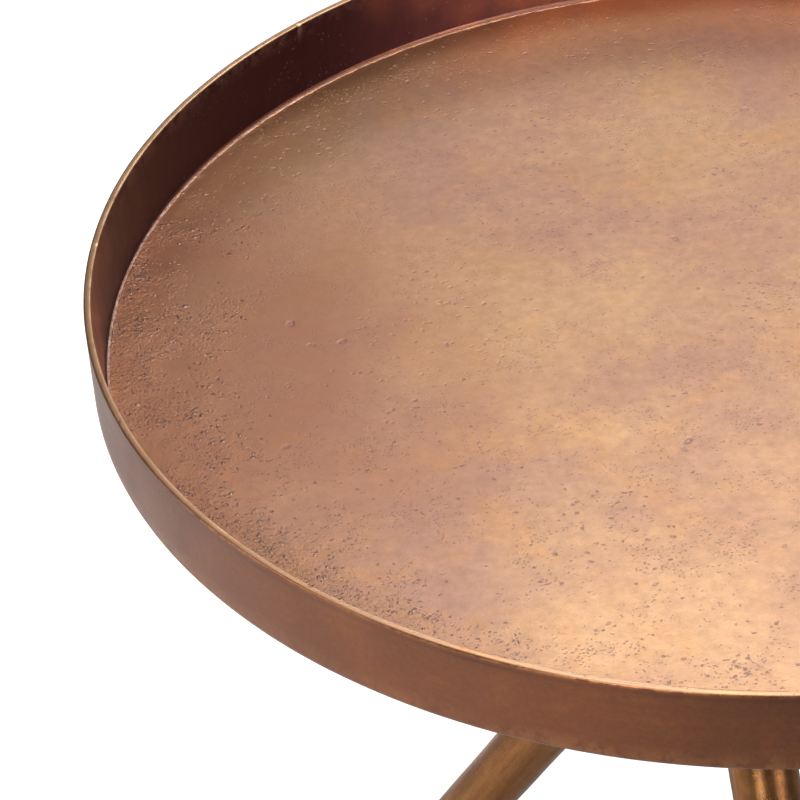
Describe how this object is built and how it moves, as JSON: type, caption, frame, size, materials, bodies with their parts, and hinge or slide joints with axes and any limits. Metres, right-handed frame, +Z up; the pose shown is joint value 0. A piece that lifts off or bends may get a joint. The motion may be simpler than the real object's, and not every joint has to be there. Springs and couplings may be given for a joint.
{
  "type": "tray table",
  "caption": "Round brass side table: a cast tray with an upright rim on a crossed tripod of tapered round legs.",
  "frame": {"origin": "on the floor under the centre of the tray", "axes": "+Z up through the tray's centre; the front leg's foot lies towards -Y"},
  "size_m": [0.5, 0.5, 0.45],
  "materials": {
    "tray_brass": "antique cast brass: clouded brown patina, fine casting pits, satin",
    "leg_brass": "antique brass: streaked golden brown patina, satin",
    "plate_steel": "dark brown paint, satin",
    "screw_steel": "zinc plated",
    "glide_rubber": "matt black"
  },
  "bodies": {
    "root": {"tray": "tray_brass", "mounting_plate": "plate_steel", "plate_screw_1": "screw_steel", "plate_screw_2": "screw_steel", "plate_screw_3": "screw_steel", "plate_screw_4": "screw_steel", "plate_screw_5": "screw_steel", "plate_screw_6": "screw_steel", "plate_washer_1": "screw_steel", "plate_washer_2": "screw_steel", "plate_washer_3": "screw_steel", "plate_washer_4": "screw_steel", "plate_washer_5": "screw_steel", "plate_washer_6": "screw_steel", "leg_front": "leg_brass", "leg_screw_front": "screw_steel", "leg_washer_front": "screw_steel", "leg_dowel_front": "screw_steel", "foot_glide_front": "glide_rubber", "glide_screw_front": "screw_steel", "leg_back_left": "leg_brass", "leg_screw_back_left": "screw_steel", "leg_washer_back_left": "screw_steel", "leg_dowel_back_left": "screw_steel", "foot_glide_back_left": "glide_rubber", "glide_screw_back_left": "screw_steel", "leg_back_right": "leg_brass", "leg_screw_back_right": "screw_steel", "leg_washer_back_right": "screw_steel", "leg_dowel_back_right": "screw_steel", "foot_glide_back_right": "glide_rubber", "glide_screw_back_right": "screw_steel", "tie_pin_front_to_back_left": "screw_steel", "tie_pin_back_left_to_back_right": "screw_steel", "tie_pin_back_right_to_front": "screw_steel"}
  },
  "joints": []
}
